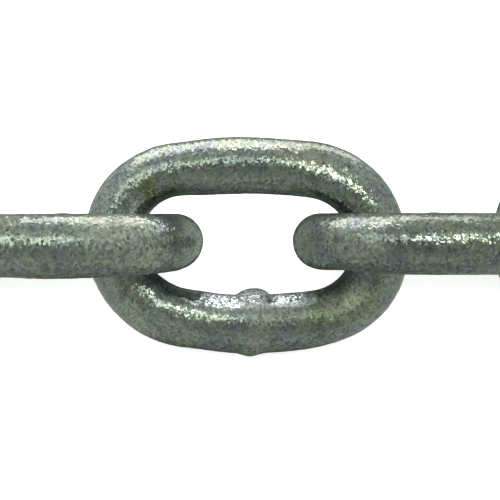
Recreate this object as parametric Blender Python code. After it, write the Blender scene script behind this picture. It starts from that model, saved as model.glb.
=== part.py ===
"""A cut length of hot-dip galvanised welded steel chain, lying drawn out straight on a level floor.

Every link is one piece of round bar, bent to a slightly bowed oval and butt welded in the middle of one
side, where a little flash stands proud. Neighbouring links stand square to each other, so on a floor the
drawn-out chain leans 45 degrees both ways and each link rests on one of its two side bars.

Units are metres, Z is up and X runs along the chain. The origin is on the floor under the middle link.
"""

import math

import bmesh
import bpy
from mathutils import Matrix

# Driving dimensions of one link
BAR_DIAMETER = 0.010
INSIDE_LENGTH = 0.0373
INSIDE_WIDTH = 0.018
END_BEND_RADIUS = 0.0134  # to the middle of the bar
SKEW = -0.054  # bending leaves one side bar this far ahead of the other, for each metre between them

# Weld flash, an ellipsoid that stands out of the bar towards the eye and away from it
FLASH_HALF_WIDTH = 0.0043
FLASH_HALF_HEIGHT = 0.0060
FLASH_HALF_DEPTH = 0.0035
FLASH_TOWARDS_EYE = 0.00022
FLASH_OFF_MIDDLE = 0.0002

# The cut length
LINK_COUNT = 9
BEARING_GAP = 0.0006  # between the bars of two links that bear on each other
LEAN = math.radians(45)
SIDESTEP = 0.00075  # how far one link lies to the side of the next, a part of the play between them

# How finely the round bar and its bends are divided
BEVEL_RESOLUTION = 6
END_SEGMENTS = 11
SEAT_HALF_LENGTH = 0.004  # half of the straight stretch in the middle of each side bar
FLASH_SEGMENTS = 12
FLASH_RINGS = 8

# Values that follow from them. The many-sided bar has the cross-section area of the round one.
BAR_SIDES = 4 + 2 * BEVEL_RESOLUTION
BAR_RADIUS = BAR_DIAMETER / 2
CORNER_RADIUS = BAR_RADIUS * math.sqrt(2 * math.pi / (BAR_SIDES * math.sin(2 * math.pi / BAR_SIDES)))
FLAT_RADIUS = CORNER_RADIUS * math.cos(math.pi / BAR_SIDES)
HALF_WIDTH = (INSIDE_WIDTH + BAR_DIAMETER) / 2
MIDDLE = LINK_COUNT // 2 + 1
PITCH = INSIDE_LENGTH - BEARING_GAP


def bend_layout():
    """Where the end bar's middle lies along X, the end bend's centre, the side bow's radius and how deep
    its centre lies, and the angle where bow and bend meet.

    The end bend has an odd number of straight segments, so its middle one is square to X. The bar's
    rings halve the angle between two segments, so the segments are thinner by that half angle's cosine.
    """
    meet = 0.0
    for _ in range(20):  # the meeting angle and the centre depend on each other, and settle quickly
        half_step = (math.pi - 2 * meet) / END_SEGMENTS / 2
        crown_x = INSIDE_LENGTH / 2 + FLAT_RADIUS * math.cos(half_step)
        end_centre = crown_x - END_BEND_RADIUS * math.cos(half_step)
        side_radius = (end_centre**2 + HALF_WIDTH**2 - END_BEND_RADIUS**2) / (
            2 * (HALF_WIDTH - END_BEND_RADIUS)
        )
        side_depth = side_radius - HALF_WIDTH
        meet = math.atan2(end_centre, side_depth)
    return crown_x, end_centre, side_radius, side_depth, meet


CROWN_X, END_CENTRE, SIDE_RADIUS, SIDE_DEPTH, MEET = bend_layout()
SEAT_ANGLE = math.asin(SEAT_HALF_LENGTH / SIDE_RADIUS)
SEAT_Y = SIDE_RADIUS * math.cos(SEAT_ANGLE) - SIDE_DEPTH


def arc(centre, radius, angles):
    """Points on an arc about (centre x, centre y), at angles measured from +Y towards +X."""
    return [(centre[0] + radius * math.sin(a), centre[1] + radius * math.cos(a)) for a in angles]


def centreline():
    """The bar's middle, once round the link clockwise from the plain side, in the link's own XY plane."""
    bow = (-SEAT_ANGLE, SEAT_ANGLE)
    step = (math.pi - 2 * MEET) / END_SEGMENTS
    end = [MEET + step * i for i in range(END_SEGMENTS + 1)]
    half = arc((0, -SIDE_DEPTH), SIDE_RADIUS, bow) + arc((END_CENTRE, 0), END_BEND_RADIUS, end)
    other_half = [(-x, -y) for x, y in half]
    return [(x + SKEW * y, y) for x, y in half + other_half]


def mesh_of(obj):
    """The object's evaluated mesh as new mesh data, with the seam of a closed tube welded."""
    graph = bpy.context.evaluated_depsgraph_get()
    mesh = bpy.data.meshes.new_from_object(obj.evaluated_get(graph))
    shape = bmesh.new()
    shape.from_mesh(mesh)
    bmesh.ops.remove_doubles(shape, verts=shape.verts, dist=1e-6)
    bmesh.ops.recalc_face_normals(shape, faces=shape.faces)
    shape.to_mesh(mesh)
    shape.free()
    return mesh


def bent_bar(collection):
    """The round bar on its closed centreline, as a mesh object lying flat about the origin."""
    curve = bpy.data.curves.new("bent_bar", "CURVE")
    curve.dimensions = "3D"
    curve.bevel_depth = CORNER_RADIUS
    curve.bevel_resolution = BEVEL_RESOLUTION
    points = centreline()
    spline = curve.splines.new("POLY")
    spline.points.add(len(points) - 1)
    spline.use_cyclic_u = True
    for point, (x, y) in zip(spline.points, points):
        point.co = (x, y, 0, 1)
        point.tilt = math.pi / BAR_SIDES  # turns a flat, not a corner, towards the eye
    tube = bpy.data.objects.new("bent_bar", curve)
    collection.objects.link(tube)
    bar = bpy.data.objects.new("bent_bar_mesh", mesh_of(tube))
    collection.objects.link(bar)
    bpy.data.objects.remove(tube)
    return bar


def weld_flash(collection):
    """The flash as a helper object on the middle of the lower side bar."""
    shape = bmesh.new()
    bmesh.ops.create_uvsphere(shape, u_segments=FLASH_SEGMENTS, v_segments=FLASH_RINGS, radius=1)
    size = Matrix.Diagonal((FLASH_HALF_WIDTH, FLASH_HALF_HEIGHT, FLASH_HALF_DEPTH, 1))
    along = FLASH_OFF_MIDDLE - SKEW * SEAT_Y
    place = Matrix.Translation((along, FLASH_TOWARDS_EYE - SEAT_Y, 0))
    bmesh.ops.transform(shape, matrix=place @ size, verts=shape.verts)
    mesh = bpy.data.meshes.new("weld_flash")
    shape.to_mesh(mesh)
    shape.free()
    flash = bpy.data.objects.new("weld_flash", mesh)
    flash.hide_render = True
    flash.display_type = "WIRE"
    collection.objects.link(flash)
    return flash


def link_mesh(helpers):
    """One welded link, lying flat: length along X, width along Y, the weld on its -Y side."""
    bar = bent_bar(helpers)
    join = bar.modifiers.new("weld", "BOOLEAN")
    join.operation = "UNION"
    join.solver = "EXACT"
    join.object = weld_flash(helpers)
    mesh = mesh_of(bar)
    bpy.data.objects.remove(bar)
    mesh.name = "welded_link"
    mesh.shade_smooth()
    mesh.set_sharp_from_angle(angle=math.radians(40))
    return mesh


def galvanised_steel():
    """Hot-dip zinc on mild steel: dull, mid grey with a green cast."""
    material = bpy.data.materials.new("galvanised_steel")
    material.use_nodes = True
    surface = material.node_tree.nodes["Principled BSDF"]
    surface.inputs["Base Color"].default_value = (0.30, 0.33, 0.30, 1)
    surface.inputs["Metallic"].default_value = 0.9
    surface.inputs["Roughness"].default_value = 0.45
    return material


def axis_height(mesh):
    """How high the chain's axis lies when a leaning link's lower side bar is on the floor."""
    turn = Matrix.Rotation(LEAN, 3, "X")
    return -min((turn @ vertex.co).z for vertex in mesh.vertices)


def link_lean(number):
    """Turn about X: the middle link faces up and to -Y, and neighbours stand square to each other."""
    return LEAN if (number - MIDDLE) % 2 == 0 else LEAN + math.pi / 2


def place_of(number, height, along=0.0):
    """Where a link is in the world, or a point along its own axis from its middle."""
    side = -SIDESTEP / 2 if (number - MIDDLE) % 2 == 0 else SIDESTEP / 2
    place = Matrix.Translation(((number - MIDDLE) * PITCH + along, side, height))
    return place @ Matrix.Rotation(link_lean(number), 4, "X")


def add_to(collection, name, mesh, place):
    """A link, or an empty where mesh is None, at its place in the world."""
    obj = bpy.data.objects.new(name, mesh)
    obj.matrix_basis = place
    collection.objects.link(obj)
    return obj


def hang_on(child, parent, parent_place):
    """Parents child without moving it; parent_place is where the parent is in the world."""
    child.parent = parent
    child.matrix_parent_inverse = parent_place.inverted()


def add_arm(collection, mesh, height, middle_link, side):
    """The links from the middle one out to one end (side 1 or -1), each hung on the one before it.

    A link swings about its neighbour's end bar, so its hinge is an empty on that bar with Y along it.
    """
    carrier = middle_link
    carrier_place = place_of(MIDDLE, height)
    for step in range(1, MIDDLE):
        number = MIDDLE + side * step
        inner = number - side
        place = place_of(inner, height, along=side * CROWN_X)
        hinge = add_to(collection, f"hinge_of_link_{number}", None, place)
        hinge.empty_display_size = BAR_DIAMETER
        hang_on(hinge, carrier, carrier_place)
        link = add_to(collection, f"link_{number}", mesh, place_of(number, height))
        hang_on(link, hinge, place)
        carrier, carrier_place = hinge, place


def build():
    for obj in list(bpy.data.objects):
        bpy.data.objects.remove(obj)
    chain = bpy.data.collections.new("steel_chain")
    helpers = bpy.data.collections.new("helpers")
    bpy.context.scene.collection.children.link(chain)
    bpy.context.scene.collection.children.link(helpers)
    mesh = link_mesh(helpers)
    mesh.materials.append(galvanised_steel())
    height = axis_height(mesh)
    middle_link = add_to(chain, f"link_{MIDDLE}", mesh, place_of(MIDDLE, height))
    add_arm(chain, mesh, height, middle_link, side=1)
    add_arm(chain, mesh, height, middle_link, side=-1)


build()
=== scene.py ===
import math
import random

import bpy
from mathutils import Matrix, Vector


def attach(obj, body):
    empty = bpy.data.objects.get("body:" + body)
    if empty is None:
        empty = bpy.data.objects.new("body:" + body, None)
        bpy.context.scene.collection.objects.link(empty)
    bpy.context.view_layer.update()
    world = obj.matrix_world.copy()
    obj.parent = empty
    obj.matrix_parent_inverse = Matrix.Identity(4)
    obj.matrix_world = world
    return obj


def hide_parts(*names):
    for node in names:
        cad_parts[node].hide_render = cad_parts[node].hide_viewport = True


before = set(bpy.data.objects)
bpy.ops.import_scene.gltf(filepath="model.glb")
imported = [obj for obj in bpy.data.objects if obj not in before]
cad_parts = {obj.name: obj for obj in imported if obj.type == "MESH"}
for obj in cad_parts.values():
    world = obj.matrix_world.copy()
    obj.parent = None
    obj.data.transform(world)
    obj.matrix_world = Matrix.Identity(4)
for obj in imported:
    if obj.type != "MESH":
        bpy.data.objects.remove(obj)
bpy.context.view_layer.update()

random.seed(11)

# Lengths are in metres unless a name says otherwise. Each link is bent lying flat, its length along X,
# the weld in its -Y side bar and the side that faces the camera upwards.
mm = 0.001
mergeDistance = 0.02 * mm

chain = {
    "linkCount": 9,
    "pitch": 36.7 * mm,
    "axisHeight": 14.81 * mm,
    "lean": math.radians(45),  # the middle link faces up and forwards, its neighbours stand square to it
    "sidestep": 0.75 * mm,  # play that lets neighbours lie a little to either side of the axis
}

roundBar = {
    "radius": 5 * mm,
    "insideLength": 37.3 * mm,
    "insideWidth": 18 * mm,
    "endBendRadius": 13.4 * mm,
    "skew": -0.054,  # one side bar lies this far ahead of the other, for each metre between them
    "sides": 100,
    "ringSpacing": 0.31 * mm,
}

# The camera looks down at 45 degrees, square on to the middle link, with up along the link's width
upward = Vector((0, math.sqrt(0.5), math.sqrt(0.5)))
towardsCamera = Vector((0, -math.sqrt(0.5), math.sqrt(0.5)))
alongChain = Vector((1, 0, 0))


def fromMiddle(place):
    # a place in mm from the middle of the chain: along it, up across the middle link, out to the camera
    along, up, out = (part * mm for part in place)
    middle = Vector((0, -chain["sidestep"] / 2, chain["axisHeight"]))
    return middle + alongChain * along + upward * up + towardsCamera * out


def deselectAll():
    if bpy.context.object and bpy.context.object.mode != "OBJECT":
        bpy.ops.object.mode_set(mode="OBJECT")
    bpy.ops.object.select_all(action="DESELECT")


def makeActive(piece):
    deselectAll()
    piece.select_set(True)
    bpy.context.view_layer.objects.active = piece


def smoothStep(value, low, high):
    t = min(1.0, max(0.0, (value - low) / (high - low)))
    return t * t * (3 - 2 * t)


def band(value, rise, fall):
    # 0 outside, 1 inside, with a soft edge on each side
    return smoothStep(value, *rise) * (1 - smoothStep(value, *fall))


def linear(hexColour):
    parts = [int(hexColour[i : i + 2], 16) / 255 for i in (0, 2, 4)]
    return [p / 12.92 if p <= 0.04045 else ((p + 0.055) / 1.055) ** 2.4 for p in parts] + [1]


# The bowed oval: two side bars on large arcs, two end bends on small ones
halfWidth = roundBar["insideWidth"] / 2 + roundBar["radius"]
endCentre = roundBar["insideLength"] / 2 + roundBar["radius"] - roundBar["endBendRadius"]
sideRadius = (endCentre**2 + halfWidth**2 - roundBar["endBendRadius"] ** 2) / (
    2 * (halfWidth - roundBar["endBendRadius"])
)
sideDepth = sideRadius - halfWidth
meetAngle = math.atan2(endCentre, sideDepth)


def spinBar(angle, radius, centreX, centreY):
    steps = max(2, round(angle * radius / roundBar["ringSpacing"]))
    bpy.ops.mesh.spin(steps=steps, angle=angle, center=(centreX, centreY, 0), axis=(0, 0, 1))


def bendLink():
    deselectAll()
    bpy.ops.mesh.primitive_circle_add(
        vertices=roundBar["sides"],
        radius=roundBar["radius"],
        location=(0, halfWidth, 0),
        rotation=(0, math.pi / 2, 0),
    )
    link = bpy.context.object
    bpy.ops.object.transform_apply(location=True, rotation=True, scale=True)
    bpy.ops.object.mode_set(mode="EDIT")
    bpy.ops.mesh.select_all(action="SELECT")
    spinBar(meetAngle, sideRadius, 0, -sideDepth)
    spinBar(math.pi - 2 * meetAngle, roundBar["endBendRadius"], endCentre, 0)
    spinBar(2 * meetAngle, sideRadius, 0, sideDepth)
    spinBar(math.pi - 2 * meetAngle, roundBar["endBendRadius"], -endCentre, 0)
    spinBar(meetAngle, sideRadius, 0, -sideDepth)
    bpy.ops.mesh.select_all(action="SELECT")
    bpy.ops.mesh.remove_doubles(threshold=mergeDistance)
    bpy.ops.mesh.normals_make_consistent(inside=False)
    bpy.ops.object.mode_set(mode="OBJECT")
    return link


# The butt weld: flash squeezed out around the joint, and the bar beside it trimmed flatter.
# Places are in mm along the lower side bar from its middle, and degrees round it from the camera's side:
# 90 is the inside of the link, -90 the outside. A push moves a patch of the bar that way by so many mm, and
# the bar around it follows within its reach.
weld = {
    "reachAlong": 16,  # nothing further from the middle is picked
    "shoulders": ((-9.2, -2.0), (4.4, 11.5)),
    # trimming left a flat on the camera's side of a low ridge, with its tails cut short
    "ridge": {"round": (68, 72), "towards": 70, "by": 0.44, "reach": 2.2},
    "tail": {"round": (60, 80), "towards": 70, "by": -0.17, "reach": 0.8},
    "faceFrom": -1.4,  # from here to the right shoulder's end the camera's side is duller
    "face": {"round": (8, 24), "towards": 14, "by": 0.12, "reach": 1.6},
    "collar": {"every": 30, "by": 0.15, "uneven": (0.5, 1.3), "along": (-0.4, 0.9), "reach": 1.7},
}
trimmedFrom, trimmedTo = weld["shoulders"][0][0], weld["shoulders"][1][1]

swelling = [
    {"along": along, "round": (-125, -55), "towards": -90, "by": 0.15, "reach": 4}
    for along in ((-8, 12.5), (-5.5, 11), (-3, 9))
]
dome = [
    {"along": (-1.8, 2.9), "round": (58, 116), "towards": 90, "by": 0.54, "reach": 0.9},
    {"along": (-0.7, 1.9), "round": (70, 106), "towards": 90, "by": 0.36, "reach": 1.6},
    {"along": (-0.5, 2.1), "round": (44, 60), "towards": 50, "by": 0.35, "reach": 1.4},
]
drip = [
    {"along": (-1.5, -1.1), "round": (-100, -76), "towards": -88, "by": 0.4, "reach": 2.3},
    {"along": (-0.9, 0.3), "round": (-100, -76), "towards": -88, "by": 0.15, "reach": 2.6},
    {"along": (-1.9, 0.3), "round": (-66, -38), "towards": -52, "by": 0.2, "reach": 1.8},
    {"along": (-1.8, -0.4), "round": (-140, -118), "towards": -130, "by": 0.3, "reach": 2.0},
]


def around(middle, halfSpan):
    return middle - halfSpan, middle + halfSpan


def placeOnWeldBar(co):
    # mm along the lower side bar and degrees round it, with the bow taken no further than the end bends
    bow = sideDepth - math.sqrt(sideRadius**2 - min(abs(co.x), endCentre * 1.2) ** 2)
    return co.x / mm, math.degrees(math.atan2(co.y - bow, co.z))


def moveSelected(move, reach, shape):
    bpy.ops.object.mode_set(mode="EDIT")
    bpy.ops.transform.translate(
        value=move,
        use_proportional_edit=True,
        proportional_edit_falloff=shape,
        proportional_size=reach * mm,
    )
    bpy.ops.object.mode_set(mode="OBJECT")


def selectNothing(link):
    makeActive(link)
    bpy.ops.object.mode_set(mode="EDIT")
    bpy.ops.mesh.select_all(action="DESELECT")
    bpy.ops.object.mode_set(mode="OBJECT")


def pushPatch(link, push, shape="SMOOTH"):
    selectNothing(link)
    (left, right), (low, high) = push["along"], push["round"]
    for vertex in link.data.vertices:
        if vertex.co.y < -halfWidth / 2 and abs(vertex.co.x) < weld["reachAlong"] * mm:
            along, degrees = placeOnWeldBar(vertex.co)
            vertex.select = left <= along <= right and low <= degrees <= high
    turn, by = math.radians(push["towards"]), push["by"]
    move = [part * mm for part in (0, math.sin(turn) * by, math.cos(turn) * by)]
    moveSelected(move, push["reach"], shape)


def trimShoulder(link, left, right):
    pushPatch(link, dict(weld["ridge"], along=(left + 0.3, right - 0.3)), "SHARP")
    for tail in (left - 0.7, right + 0.7):
        pushPatch(link, dict(weld["tail"], along=around(tail, 0.2)))


def squeezeCollar(link):
    # a low, uneven ring of upset metal, lump by lump
    collar = weld["collar"]
    for degrees in range(-165, 180, collar["every"]):
        rise = collar["by"] * random.uniform(*collar["uneven"])
        along = random.uniform(*collar["along"])
        lump = {"along": around(along, 0.6), "round": around(degrees, 12), "towards": degrees}
        pushPatch(link, dict(lump, by=rise, reach=collar["reach"]))


def weldLink(link):
    for left, right in weld["shoulders"]:
        trimShoulder(link, left, right)
    pushPatch(link, dict(weld["face"], along=(weld["faceFrom"], trimmedTo)))
    squeezeCollar(link)
    for push in swelling + dome + drip:
        pushPatch(link, push)


def skewLink(link):
    shearing = Matrix.Identity(4)
    shearing[0][1] = roundBar["skew"]
    link.data.transform(shearing)


link = bendLink()
weldLink(link)
skewLink(link)
print(f"link bent and welded: {len(link.data.polygons)} faces")

# Where the coat differs, and where shade is painted inside the end bends. Each pair of numbers is where a
# soft edge starts
# and ends: mm inside the end bend, along the link or off its middle line, and degrees round the weld bar
# for a rise and a fall.
coatMarks = {
    "bearing": {"inside": (0.5, 4.4), "along": (14, 18.5), "aside": (3.5, 8)},
    "bearingDepth": 0.6,  # mm that are added to how far inside a point of the end bend counts
    # painted shade inside the end bends, where the neighbouring link lies
    "bendShade": {"inside": (0.2, 1.0), "along": (9, 14)},  # inside in bar radii
    "dullFace": {"rise": (-8, 2), "fall": (40, 52)},
    "dullBeyond": 0.2,  # the share of the dullness that ends with the right shoulder
    "glossy": {"rise": (-2, 8), "fall": (42, 50), "along": (-19, -15)},
    "gloss": 0.3,  # taken off the dullness there
    # trimmed weld shoulders, drawn lighter partly as a painted highlight
    "trimmed": {"rise": (36, 42), "fall": (100, 120)},
    "smoothed": {"bearing": 0.8, "trimmed": 0.5},  # the share of the relief that is lost
}


def bearingShare(x, y):
    mark = coatMarks["bearing"]
    inside = (halfWidth - math.hypot(abs(x) - endCentre, y)) / mm + coatMarks["bearingDepth"]
    share = smoothStep(inside, *mark["inside"]) * smoothStep(abs(x) / mm, *mark["along"])
    return share * (1 - smoothStep(abs(y) / mm, *mark["aside"]))


# painted shade: how deep a point lies inside an end bend
def bendShadeShare(x, y):
    mark = coatMarks["bendShade"]
    toCentre = math.hypot(max(abs(x) - endCentre, 0), y)
    inside = (roundBar["endBendRadius"] - toCentre) / roundBar["radius"]
    return smoothStep(inside, *mark["inside"]) * smoothStep(abs(x) / mm, *mark["along"])


def dullShare(along, degrees):
    mark, face = coatMarks["glossy"], weld["faceFrom"]
    dull = band(degrees, **coatMarks["dullFace"]) * smoothStep(along, face - 0.3, face + 0.1)
    dull *= 1 - coatMarks["dullBeyond"] * smoothStep(along, trimmedTo - 0.2, trimmedTo + 0.8)
    glossy = band(degrees, mark["rise"], mark["fall"]) * (1 - smoothStep(along, face - 0.3, face))
    return dull - coatMarks["gloss"] * glossy * smoothStep(along, *mark["along"])


def trimmedShare(along, degrees):
    inSpan = band(along, around(trimmedFrom, 0.2), around(trimmedTo, 0.2))
    return band(degrees, **coatMarks["trimmed"]) * inSpan


def markCoat(link):
    # the coat group holds how much relief there is, the attributes what the material reads
    group = link.vertex_groups.new(name="coat")
    marks = {"wearAndHighlight": [], "dull": [], "paintedBendShade": []}
    lost = coatMarks["smoothed"]
    for vertex in link.data.vertices:
        x, y, z = vertex.co
        bearing = wearAndHighlight = bearingShare(x, y)
        dull = 0.0
        if y < -halfWidth / 2:
            place = placeOnWeldBar(Vector((x - roundBar["skew"] * y, y, z)))
            dull = dullShare(*place)
            # worn bearing, or trimmed weld shoulder lightened partly as a painted highlight
            wearAndHighlight = max(bearing, trimmedShare(*place))
        marks["wearAndHighlight"].append(wearAndHighlight)
        marks["dull"].append(dull)
        # painted shade inside the end bends, none on the worn bearing
        marks["paintedBendShade"].append(bendShadeShare(x, y) * (1 - bearing))
        relief = 1 - lost["bearing"] * bearing - lost["trimmed"] * (wearAndHighlight - bearing)
        group.add([vertex.index], relief, "REPLACE")
    for name, values in marks.items():
        link.data.attributes.new(name, "FLOAT", "POINT").data.foreach_set("value", values)


# No two links are bent quite alike. Places and moves are as for fromMiddle.
handBent = [
    {"link": 5, "place": (-13.0, -8.0, 0), "move": (0.3, 0.42, 0), "reach": 8},
    {"link": 5, "place": (-17.0, 15.5, 0), "move": (0.14, -0.34, 0), "reach": 13},
    {"link": 5, "place": (-15.0, 7.5, 0), "move": (-0.34, 0.42, 0), "reach": 7},
    {"link": 5, "place": (17.0, -15.5, 0), "move": (-0.1, 0.2, 0), "reach": 12},
    {"link": 6, "place": (12.0, -4.6, 14), "move": (0.2, 0.35, 0), "reach": 8},
    {"link": 5, "place": (20.0, 13.0, 0), "move": (0.15, 0.12, 0), "reach": 10},
    {"link": 5, "place": (13.5, 12.0, 5), "move": (-0.45, -0.9, 0.1), "reach": 5},
    {"link": 5, "place": (18.5, 9.5, 5), "move": (-0.75, -0.65, 0.1), "reach": 5},
    {"link": 5, "place": (-17.0, -10.0, 5), "move": (0.3, 0.4, 0.1), "reach": 5},
    {"link": 5, "place": (-12.0, -12.3, 5), "move": (0.2, 0.55, 0.1), "reach": 5},
    {"link": 6, "place": (9.0, -3.5, 12), "move": (0.38, 0.25, 0), "reach": 5},
    {"link": 4, "place": (-8.5, 2.0, 12), "move": (-0.55, 0, 0), "reach": 6},
    {"link": 4, "place": (-30.0, -5.0, 14), "move": (0, -0.2, 0), "reach": 9},
]
hammerFace = 1.5 * mm  # how much of the bar beyond the nearest point is moved whole


def marksOn(number, marks):
    return [dict(each, place=fromMiddle(each["place"])) for each in marks if each["link"] == number]


def bendByHand(link, number):
    for nudge in marksOn(number, handBent):
        selectNothing(link)
        nearest = min((vertex.co - nudge["place"]).length for vertex in link.data.vertices)
        for vertex in link.data.vertices:
            vertex.select = (vertex.co - nudge["place"]).length < nearest + hammerFace
        moveSelected(fromMiddle(nudge["move"]) - fromMiddle((0, 0, 0)), nudge["reach"], "SMOOTH")


# Stains that the bath and the weather left, seen on the three links in the middle and strewn on the rest.
# On the middle links the bright tint is painted highlight and the shadow and dark tints are painted shade.
# A size is in mm along the link and across it.
stainAndPaintedLightTints = {
    "yellow": "938D4C",
    "brown": "A18C7E",
    "violet": "8E8FA0",
    "olive": "8C965F",
    "pale": "B3B1A9",
    "moss": "6F7A58",
    # on the middle links the next three are painted highlight and painted shade; strewn on other links they
    # are plain tints
    "bright": "C0C8BA",
    "shadow": "7E827B",
    "dark": "5A6058",
}
stainsAndPaintedLight = [
    {"link": 5, "place": (-17.0, 9.5, 3.5), "size": (2.2, 3.4), "tint": "yellow", "amount": 0.8},
    {"link": 5, "place": (1.0, -16.3, 4), "size": (2.8, 2.0), "tint": "pale", "amount": 1.0},
    {"link": 5, "place": (20.0, -9.5, 4), "size": (4.5, 4.0), "tint": "olive", "amount": 0.5},
    {"link": 5, "place": (22.0, -8.7, 4), "size": (1.2, 1.2), "tint": "yellow", "amount": 0.8},
    {"link": 5, "place": (-25.5, 7.0, 3), "size": (3.0, 4.0), "tint": "violet", "amount": 0.6},
    {"link": 5, "place": (-2.5, -14.0, 5), "size": (2.6, 0.9), "tint": "violet", "amount": 0.6},
    # painted highlight along the front highlight of the lower bar
    {"link": 5, "place": (-10.5, -11.8, 4.5), "size": (11.0, 2.4), "tint": "bright", "amount": 0.8},
    # the next two: painted shade between the front highlight and the inner rim, over a bright curl at the
    # weld ridge's tail
    {"link": 5, "place": (-12.0, -9.6, 3.6), "size": (3.4, 1.4), "tint": "dark", "amount": 0.9},
    {"link": 5, "place": (-10.1, -9.2, 2.2), "size": (2.0, 1.5), "tint": "dark", "amount": 1.2},
    {"link": 5, "place": (13.0, -12.5, 4.5), "size": (6.5, 3.5), "tint": "moss", "amount": 0.6},
    # painted shade that dims the weld face
    {"link": 5, "place": (6.0, -12.2, 4.5), "size": (6.0, 2.6), "tint": "shadow", "amount": 0.9},
    {"link": 6, "place": (15.5, -0.5, 16), "size": (3.5, 2.6), "tint": "violet", "amount": 0.5},
    # painted shade on the crown tip inside the middle link
    {"link": 6, "place": (10.5, 2.0, 10), "size": (2.5, 2.5), "tint": "shadow", "amount": 0.5},
    # painted highlight along the top of the bar
    {"link": 6, "place": (19.5, 4.6, 16), "size": (7.0, 2.0), "tint": "bright", "amount": 1.0},
    # painted shade that dims a lamp's highlight
    {"link": 4, "place": (-20.0, 1.5, 17), "size": (8.0, 4.0), "tint": "shadow", "amount": 0.7},
    {"link": 6, "place": (21.0, -1.5, 18), "size": (3.0, 2.0), "tint": "violet", "amount": 0.7},
    {"link": 4, "place": (-20.0, -1.5, 18), "size": (4.0, 2.0), "tint": "brown", "amount": 0.5},
]
strewn = {"count": 8, "length": (1.5, 4), "width": (1, 3), "amount": (0.3, 0.7)}
spotEdge = (0.2, 1.2)  # the soft edge, in shares of the size

# Where the coat froze dull
dullSpots = [
    {"link": 5, "place": (18.5, -8.0, 4), "size": (4.5, 4.0), "amount": 1.2},
    {"link": 5, "place": (14.0, -10.5, 4), "size": (5.5, 3.0), "amount": 1.5},
    {"link": 4, "place": (-19.0, 1.5, 17), "size": (9.0, 5.0), "amount": 1.3},
    {"link": 6, "place": (10.0, 2.0, 9), "size": (4.0, 7.0), "amount": 1.2},
    {"link": 6, "place": (18.0, -1.0, 18), "size": (4.0, 3.0), "amount": 1.0},
]
dullEdge = (0.4, 1.3)

linkTones = {4: 1.06, 5: 0.98, 6: 0.85}  # some links came out of the bath a little darker or lighter
otherTones = (0.9, 1.1)


def amountAt(co, spot, edge):
    away = (co - spot["place"]) / mm
    far = math.hypot(away.x / spot["size"][0], math.hypot(away.y, away.z) / spot["size"][1])
    return spot["amount"] * (1 - smoothStep(far, *edge))


def strewStains(link):
    spots = []
    for _ in range(strewn["count"]):
        vertex = random.choice(link.data.vertices)
        size = (random.uniform(*strewn["length"]), random.uniform(*strewn["width"]))
        tint, amount = random.choice(list(stainAndPaintedLightTints)), random.uniform(*strewn["amount"])
        spots.append({"place": vertex.co.copy(), "size": size, "tint": tint, "amount": amount})
    return spots


def addStainsAndPaintedLight(link, number):
    spots = marksOn(number, stainsAndPaintedLight) or strewStains(link)
    values = []
    for vertex in link.data.vertices:
        colour, most = (0, 0, 0), 0.0
        for spot in spots:
            amount = amountAt(vertex.co, spot, spotEdge)
            if amount > most:
                colour, most = linear(stainAndPaintedLightTints[spot["tint"]])[:3], amount
        values += [*colour, most]
    link.data.attributes.new("stainAndPaintedLight", "FLOAT_COLOR", "POINT").data.foreach_set("color", values)
    tone = linkTones.get(number, random.uniform(*otherTones))
    tones = [tone] * len(link.data.vertices)
    link.data.attributes.new("linkTone", "FLOAT", "POINT").data.foreach_set("value", tones)


def dullCoat(link, number):
    dull = [0.0] * len(link.data.vertices)
    link.data.attributes["dull"].data.foreach_get("value", dull)
    for spot in marksOn(number, dullSpots):
        for vertex in link.data.vertices:
            dull[vertex.index] = max(dull[vertex.index], amountAt(vertex.co, spot, dullEdge))
    link.data.attributes["dull"].data.foreach_set("value", dull)


# What the dipped surface has in relief, in mm, as one texture for each size of unevenness
zincRelief = {
    "hollows": {"size": 5.0, "depth": 0.16},
    "ripples": {"size": 1.9, "depth": 0.07},
    "grains": {"size": 0.8, "depth": 0.08},
}


def roughenCoat(link):
    makeActive(link)
    for name, relief in zincRelief.items():
        texture = bpy.data.textures.get(name) or bpy.data.textures.new(name, "CLOUDS")
        texture.noise_scale = relief["size"] * mm
        texture.noise_depth = 1
        bump = link.modifiers.new(name, "DISPLACE")
        bump.texture = texture
        bump.texture_coords = "LOCAL"
        bump.vertex_group = "coat"
        bump.strength = relief["depth"] * mm
        bump.mid_level = 0.5
        bpy.ops.object.modifier_apply(modifier=name)


def placeOf(number):
    middle = (chain["linkCount"] + 1) // 2
    odd = (number - middle) % 2
    side = chain["sidestep"] * (odd - 0.5)
    lean = chain["lean"] + odd * math.pi / 2
    spot = ((number - middle) * chain["pitch"], side, chain["axisHeight"])
    return Matrix.Translation(spot) @ Matrix.Rotation(lean, 4, "X")


def turnWeldOver(piece):
    # mirrors a link, so that its weld's ridge and dome look the other way
    makeActive(piece)
    bpy.ops.object.mode_set(mode="EDIT")
    bpy.ops.mesh.select_all(action="SELECT")
    bpy.ops.transform.mirror(constraint_axis=(False, False, True), center_override=(0, 0, 0))
    bpy.ops.mesh.remove_doubles(threshold=mergeDistance)
    bpy.ops.mesh.normals_make_consistent(inside=False)
    bpy.ops.object.mode_set(mode="OBJECT")


def layOutChain(link):
    markCoat(link)
    links = []
    for number in range(1, chain["linkCount"] + 1):
        piece = link.copy()
        piece.data = link.data.copy()
        piece.name = f"weldedLink{number}"
        piece.data.name = piece.name
        bpy.context.scene.collection.objects.link(piece)
        if number % 2 == 0:
            turnWeldOver(piece)
        piece.matrix_world = placeOf(number)
        makeActive(piece)
        bpy.ops.object.transform_apply(location=True, rotation=True, scale=True)
        bendByHand(piece, number)
        roughenCoat(piece)
        addStainsAndPaintedLight(piece, number)
        dullCoat(piece, number)
        piece.data.shade_smooth()
        links.append(piece)
    bpy.data.objects.remove(link)
    return links


links = layOutChain(link)
print(f"chain laid out: {len(links)} links")


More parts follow.
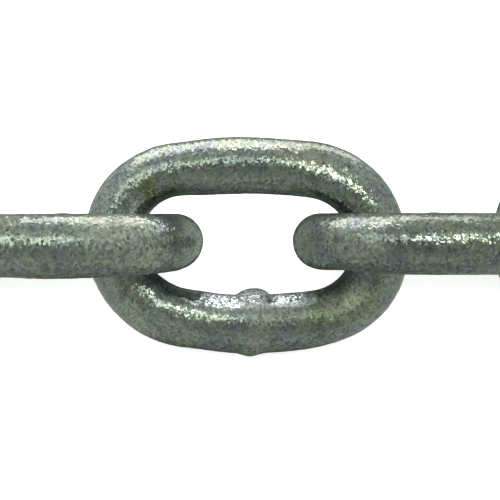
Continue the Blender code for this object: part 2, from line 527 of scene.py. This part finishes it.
def addNode(tree, kind, settings=None, joined=None):
    # settings hold properties or inputs by name or number, joined the sockets that feed the inputs
    node = tree.nodes.new(kind)
    for name, value in (settings or {}).items():
        if isinstance(name, str) and name in node.bl_rna.properties:
            setattr(node, name, value)
        else:
            node.inputs[name].default_value = value
    for name, socket in (joined or {}).items():
        tree.links.new(socket, node.inputs[name])
    return node


def fromTo(low, high, first, last):
    # settings of a Map Range node
    return {"From Min": low, "From Max": high, "To Min": first, "To Max": last}


# Hot-dip galvanised steel: zinc that froze on the bar as it was lifted from the bath. The eye gets a dull,
# grey-green metal full of small crystals that each catch the light on their own, with cloudy tints.
zinc = {
    "tints": ((0.36, "8F9397"), (0.46, "959D98"), (0.56, "959F91"), (0.66, "A5A49B")),  # violet to warm
    # worn bearings and trimmed weld shoulders; on the shoulders the lighter colour is partly a painted
    # highlight
    "wearAndHighlightColour": linear("C8CCD0"),
    "crystalMm": 0.42,  # real crystals go down to 0.2 mm, drawn as fine as the render can show
    "crystalTilt": 0.18,
    "crystalTone": 0.34,  # how much darker or lighter one crystal is than the next
    "fineCrystalMm": 0.24,
    "fineCrystalTilt": 0.12,
    "rippleMm": 0.9,
    "rippleHeightMm": 0.03,
    "tintMm": 4.5,
    "mottleMm": 1.3,
    "pitSpacingMm": 1.9,
    "pitEdge": (0.05, 0.17),
    "pitTone": 0.35,
    "spotStrength": 1.6,  # of a stain where the mottle is strongest
    # painted shade: how much darker the inside of the end bends is drawn, and its colour
    "bendShade": 0.55,
    "bendShadeColour": linear("565C55"),
    "sheenMm": 2.0,
    "roughness": (0.16, 0.22),
    "dullRoughness": 0.24,  # added where the coat is dull
    "dullTilt": 0.5,  # how much further the crystals lean there
    "metallic": 0.82,
}


def galvanisedSteel():
    material = bpy.data.materials.new("hotDipGalvanisedSteel")
    material.use_nodes = True
    tree = material.node_tree
    shader = tree.nodes["Principled BSDF"]
    place = addNode(tree, "ShaderNodeTexCoord").outputs["Object"]
    inMm = {"operation": "SCALE", "Scale": 1 / mm}
    where = {"Vector": addNode(tree, "ShaderNodeVectorMath", inMm, {0: place}).outputs[0]}

    # cloudy tints
    cloud = addNode(tree, "ShaderNodeTexNoise", {"Scale": 1 / zinc["tintMm"], "Detail": 3}, where)
    tint = addNode(tree, "ShaderNodeValToRGB", joined={"Fac": cloud.outputs["Fac"]})
    stops = tint.color_ramp.elements
    first, *between, last = zinc["tints"]
    stops[0].position, stops[0].color = first[0], linear(first[1])
    stops[1].position, stops[1].color = last[0], linear(last[1])
    for position, hexColour in between:
        stops.new(position).color = linear(hexColour)

    # crystals: each cell leans its own way and has its own tone
    leans, tone = [], None
    for size, amount in (("crystalMm", "crystalTilt"), ("fineCrystalMm", "fineCrystalTilt")):
        cells = addNode(tree, "ShaderNodeTexVoronoi", {"Scale": 1 / zinc[size]}, where)
        tone = tone or cells.outputs["Color"]
        centred = addNode(
            tree,
            "ShaderNodeVectorMath",
            {"operation": "SUBTRACT", 1: (0.5, 0.5, 0.5)},
            {0: cells.outputs["Color"]},
        )
        tilt = {"operation": "SCALE", "Scale": zinc[amount]}
        leans.append(addNode(tree, "ShaderNodeVectorMath", tilt, {0: centred.outputs[0]}).outputs[0])
    facing = addNode(tree, "ShaderNodeVectorMath", {"operation": "ADD"}, dict(enumerate(leans)))
    dull = addNode(tree, "ShaderNodeAttribute", {"attribute_name": "dull"})
    wider = addNode(
        tree,
        "ShaderNodeMath",
        {"operation": "MULTIPLY_ADD", 1: zinc["dullTilt"], 2: 1.0},
        {0: dull.outputs["Fac"]},
    )
    facing = addNode(
        tree,
        "ShaderNodeVectorMath",
        {"operation": "SCALE"},
        {0: facing.outputs[0], "Scale": wider.outputs[0]},
    )

    # tone of the crystals, darker in the mottles between them and in the pits
    mottle = addNode(tree, "ShaderNodeTexNoise", {"Scale": 1 / zinc["mottleMm"], "Detail": 4}, where)
    cellTone = addNode(tree, "ShaderNodeSeparateColor", joined={"Color": tone})
    mixed = addNode(
        tree,
        "ShaderNodeMath",
        {"operation": "ADD"},
        {0: cellTone.outputs["Blue"], 1: mottle.outputs["Fac"]},
    )
    spread = zinc["crystalTone"]
    tones = fromTo(0.4, 1.6, 1 - spread * 1.3, 1 + spread)
    shade = addNode(tree, "ShaderNodeMapRange", tones, {"Value": mixed.outputs[0]})
    pits = addNode(tree, "ShaderNodeTexVoronoi", {"Scale": 1 / zinc["pitSpacingMm"]}, where)
    pitTones = fromTo(*zinc["pitEdge"], zinc["pitTone"], 1.0)
    flat = addNode(tree, "ShaderNodeMapRange", pitTones, {"Value": pits.outputs["Distance"]})
    pitted = addNode(
        tree,
        "ShaderNodeMath",
        {"operation": "MULTIPLY"},
        {0: shade.outputs["Result"], 1: flat.outputs["Result"]},
    )

    # Stain colours, some of them painted highlight and painted shade, broken up by the mottle, then worn
    # places and trimmed weld shoulders lightened partly as a painted highlight, and painted shade inside
    # the end bends over them
    stainAndPaintedLight = addNode(tree, "ShaderNodeAttribute", {"attribute_name": "stainAndPaintedLight"})
    broken = addNode(
        tree,
        "ShaderNodeMath",
        {"operation": "MULTIPLY", 1: zinc["spotStrength"]},
        {0: mottle.outputs["Fac"]},
    )
    patchy = addNode(
        tree,
        "ShaderNodeMath",
        {"operation": "MULTIPLY"},
        {0: stainAndPaintedLight.outputs["Alpha"], 1: broken.outputs[0]},
    )
    stainedAndPaintedLight = addNode(
        tree,
        "ShaderNodeMix",
        {"data_type": "RGBA"},
        {"Factor": patchy.outputs[0], 6: tint.outputs["Color"], 7: stainAndPaintedLight.outputs["Color"]},
    )
    # worn bearings, and trimmed weld shoulders lightened partly as a painted highlight
    wearAndHighlight = addNode(tree, "ShaderNodeAttribute", {"attribute_name": "wearAndHighlight"})
    wearAndHighlightMixed = addNode(
        tree,
        "ShaderNodeMix",
        {"data_type": "RGBA", 7: zinc["wearAndHighlightColour"]},
        {"Factor": wearAndHighlight.outputs["Fac"], 6: stainedAndPaintedLight.outputs[2]},
    )
    # painted shade inside the end bends
    paintedBendShade = addNode(tree, "ShaderNodeAttribute", {"attribute_name": "paintedBendShade"})
    bendShadeAmount = addNode(
        tree,
        "ShaderNodeMath",
        {"operation": "MULTIPLY", 1: zinc["bendShade"]},
        {0: paintedBendShade.outputs["Fac"]},
    )
    bendShaded = addNode(
        tree,
        "ShaderNodeMix",
        {"data_type": "RGBA", 7: zinc["bendShadeColour"]},
        {"Factor": bendShadeAmount.outputs[0], 6: wearAndHighlightMixed.outputs[2]},
    )
    linkTone = addNode(tree, "ShaderNodeAttribute", {"attribute_name": "linkTone"})
    toned = addNode(
        tree,
        "ShaderNodeMath",
        {"operation": "MULTIPLY"},
        {0: pitted.outputs[0], 1: linkTone.outputs["Fac"]},
    )
    coloured = addNode(
        tree,
        "ShaderNodeVectorMath",
        {"operation": "SCALE"},
        {0: bendShaded.outputs[2], "Scale": toned.outputs[0]},
    )
    tree.links.new(coloured.outputs[0], shader.inputs["Base Color"])

    # ripples and pits, and the crystals' lean on top
    ripple = addNode(tree, "ShaderNodeTexNoise", {"Scale": 1 / zinc["rippleMm"], "Detail": 3}, where)
    relief = addNode(
        tree,
        "ShaderNodeMath",
        {"operation": "ADD"},
        {0: ripple.outputs["Fac"], 1: flat.outputs["Result"]},
    )
    bump = addNode(
        tree,
        "ShaderNodeBump",
        {"Strength": 1.0, "Distance": zinc["rippleHeightMm"] * mm},
        {"Height": relief.outputs[0]},
    )
    leaning = addNode(
        tree,
        "ShaderNodeVectorMath",
        {"operation": "ADD"},
        {0: bump.outputs[0], 1: facing.outputs[0]},
    )
    normal = addNode(tree, "ShaderNodeVectorMath", {"operation": "NORMALIZE"}, {0: leaning.outputs[0]})
    tree.links.new(normal.outputs[0], shader.inputs["Normal"])

    sheen = addNode(tree, "ShaderNodeTexNoise", {"Scale": 1 / zinc["sheenMm"], "Detail": 2}, where)
    roughnesses = fromTo(0.35, 0.65, *zinc["roughness"])
    rough = addNode(tree, "ShaderNodeMapRange", roughnesses, {"Value": sheen.outputs["Fac"]})
    rougher = addNode(
        tree,
        "ShaderNodeMath",
        {"operation": "MULTIPLY_ADD", 1: zinc["dullRoughness"]},
        {0: dull.outputs["Fac"], 2: rough.outputs["Result"]},
    )
    tree.links.new(rougher.outputs[0], shader.inputs["Roughness"])
    shader.inputs["Metallic"].default_value = zinc["metallic"]
    return material


steel = galvanisedSteel()
for number, piece in enumerate(links, 1):
    piece.data.materials.clear()
    piece.data.materials.append(steel)
    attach(piece, f"link_{number}")
    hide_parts(f"link_{number}")
print("materials done")

studioFloor = {
    "size": 3.0,
    "colour": linear("F4F4F2"),
    "roughness": 0.9,
    "glow": 0.76,  # keeps the floor as pale as the photograph's ground
}


def layFloor():
    deselectAll()
    bpy.ops.mesh.primitive_plane_add(size=studioFloor["size"], location=(0, 0, 0))
    floor = bpy.context.object
    floor.name = "studioFloor"
    material = bpy.data.materials.new("paintedFloor")
    material.use_nodes = True
    shader = material.node_tree.nodes["Principled BSDF"]
    shader.inputs["Base Color"].default_value = studioFloor["colour"]
    shader.inputs["Roughness"].default_value = studioFloor["roughness"]
    shader.inputs["Emission Color"].default_value = (1, 1, 1, 1)
    shader.inputs["Emission Strength"].default_value = studioFloor["glow"]
    floor.data.materials.append(material)
    floor.visible_glossy = False


# The lamps are close to the chain, as in a light tent. Places and facings are as for fromMiddle, and sizes
# are in mm.
lamps = {
    "topSoftbox": {
        "place": (-17, 57, -4),
        "facing": (0, -1, 0),
        "size": (64, 38),
        "watts": 0.0178,
        "colour": linear("FFFBF8"),
    },
    "topRightSoftbox": {
        "place": (38, 57, -9),
        "facing": (0, -1, 0),
        "size": (46, 28),
        "watts": 0.0062,
        "colour": linear("FFFBF8"),
    },
    "overWeld": {
        "place": (6.5, 110, 27),
        "facing": (0, -1, 0),
        "size": (32, 22),
        "watts": 0.0069,
        "colour": linear("FBFAFF"),
    },
    "frontSoftbox": {
        "place": (12, 120, 305),
        "facing": (-0.03, -0.37, -0.92),
        "size": (190, 76),
        "watts": 0.1,
        "colour": linear("F0FFEC"),
    },
    "frontLamp": {
        "place": (80, 86, 187),
        "facing": (-0.36, -0.39, -0.85),
        "size": (40, 40),
        "watts": 0.058,
        "colour": linear("FAFFEE"),
    },
    "sideSoftbox": {
        "place": (-110, 100, 200),
        "facing": (0.44, -0.4, -0.8),
        "size": (80, 80),
        "watts": 0.04,
        "colour": linear("FAFFF8"),
    },
}


def hangLamp(name):
    lamp = lamps[name]
    deselectAll()
    bpy.ops.object.light_add(type="AREA")
    light = bpy.context.object
    light.name = name
    back = -(fromMiddle(lamp["facing"]) - fromMiddle((0, 0, 0))).normalized()
    right = back.cross(alongChain).cross(back).normalized()
    axes = Matrix((right, back.cross(right), back)).transposed().to_4x4()
    light.matrix_world = Matrix.Translation(fromMiddle(lamp["place"])) @ axes
    light.data.shape = "RECTANGLE"
    light.data.size, light.data.size_y = (side * mm for side in lamp["size"])
    light.data.energy = lamp["watts"]
    light.data.color = lamp["colour"][:3]
    light.visible_camera = False


# What the bars mirror around the lamps. A direction agrees with a glow's axis from -1, against it, to 1,
# along it, and the brightness changes between the two agreements that are given.
surroundColour = (0.9, 1.0, 0.91, 1)
glows = {
    # dark behind the chain
    "room": {
        "axis": towardsCamera + upward * 0.36,
        "agreement": (-0.94, -0.42),
        "brightness": (0.07, 0.25),
        "edge": "LINEAR",
    },
    "sides": {
        "axis": alongChain,
        "bothWays": True,
        "agreement": (0.15, 0.5),
        "brightness": (0.0, 0.53),
        "edge": "LINEAR",
    },
    # where the pale table starts
    "tableEdge": {
        "axis": upward * math.sin(math.radians(-54)) + towardsCamera * math.cos(math.radians(-54)),
        "agreement": (0.88, 1.0),
        "brightness": (0.0, 0.16),
        "edge": "SMOOTHSTEP",
    },
    # brighter on the left
    "ceiling": {
        "axis": upward + towardsCamera * 0.1 - alongChain * 0.38,
        "agreement": (0.1, 0.95),
        "brightness": (0.0, 0.32),
        "edge": "SMOOTHSTEP",
    },
}


def addGlow(tree, aim, glow):
    dot = {"operation": "DOT_PRODUCT", 1: glow["axis"].normalized()}
    agreement = addNode(tree, "ShaderNodeVectorMath", dot, {0: aim}).outputs["Value"]
    if glow.get("bothWays"):
        agreement = addNode(tree, "ShaderNodeMath", {"operation": "ABSOLUTE"}, {0: agreement}).outputs[0]
    settings = dict(fromTo(*glow["agreement"], *glow["brightness"]), interpolation_type=glow["edge"])
    return addNode(tree, "ShaderNodeMapRange", settings, {"Value": agreement}).outputs["Result"]


def lightStudio():
    for name in lamps:
        hangLamp(name)
    world = bpy.data.worlds.new("studioSurround")
    bpy.context.scene.world = world
    world.use_nodes = True
    tree = world.node_tree
    background = tree.nodes["Background"]
    aim = addNode(tree, "ShaderNodeTexCoord").outputs["Generated"]
    glow = {name: addGlow(tree, aim, each) for name, each in glows.items()}
    walls = addNode(tree, "ShaderNodeMath", {"operation": "MAXIMUM"}, {0: glow["room"], 1: glow["sides"]})
    table = {0: walls.outputs[0], 1: glow["tableEdge"]}
    below = addNode(tree, "ShaderNodeMath", {"operation": "ADD"}, table).outputs[0]
    whole = addNode(tree, "ShaderNodeMath", {"operation": "ADD"}, {0: below, 1: glow["ceiling"]})
    tree.links.new(whole.outputs[0], background.inputs["Strength"])
    background.inputs["Color"].default_value = surroundColour


camera = {
    "aimAlong": 0.317 * mm,
    "aimUp": -0.975 * mm,
    "azimuth": math.radians(-2.93),
    "elevation": math.radians(2.94),
    "distance": 126.5 * mm,
    "roll": math.radians(-0.12),
    "fieldOfView": math.radians(38.85),
    "sensorWidthMm": 36,
    "nearest": 5 * mm,
}


def setCamera():
    aim = fromMiddle((0, 0, 0)) + alongChain * camera["aimAlong"] + upward * camera["aimUp"]
    az, el = camera["azimuth"], camera["elevation"]
    away = alongChain * math.sin(az) * math.cos(el) + upward * math.sin(el)
    away += towardsCamera * math.cos(az) * math.cos(el)
    right = upward.cross(away).normalized()
    frameAxes = Matrix((right, away.cross(right), away)).transposed().to_4x4()
    spot = Matrix.Translation(aim + away * camera["distance"])
    bpy.ops.object.camera_add()
    eye = bpy.context.object
    eye.matrix_world = spot @ frameAxes @ Matrix.Rotation(camera["roll"], 4, "Z")
    eye.data.sensor_width = camera["sensorWidthMm"]
    eye.data.angle = camera["fieldOfView"]
    eye.data.clip_start = camera["nearest"]
    bpy.context.scene.camera = eye


layFloor()
lightStudio()
setCamera()
bpy.context.scene.view_settings.view_transform = "Standard"
print("studio done")
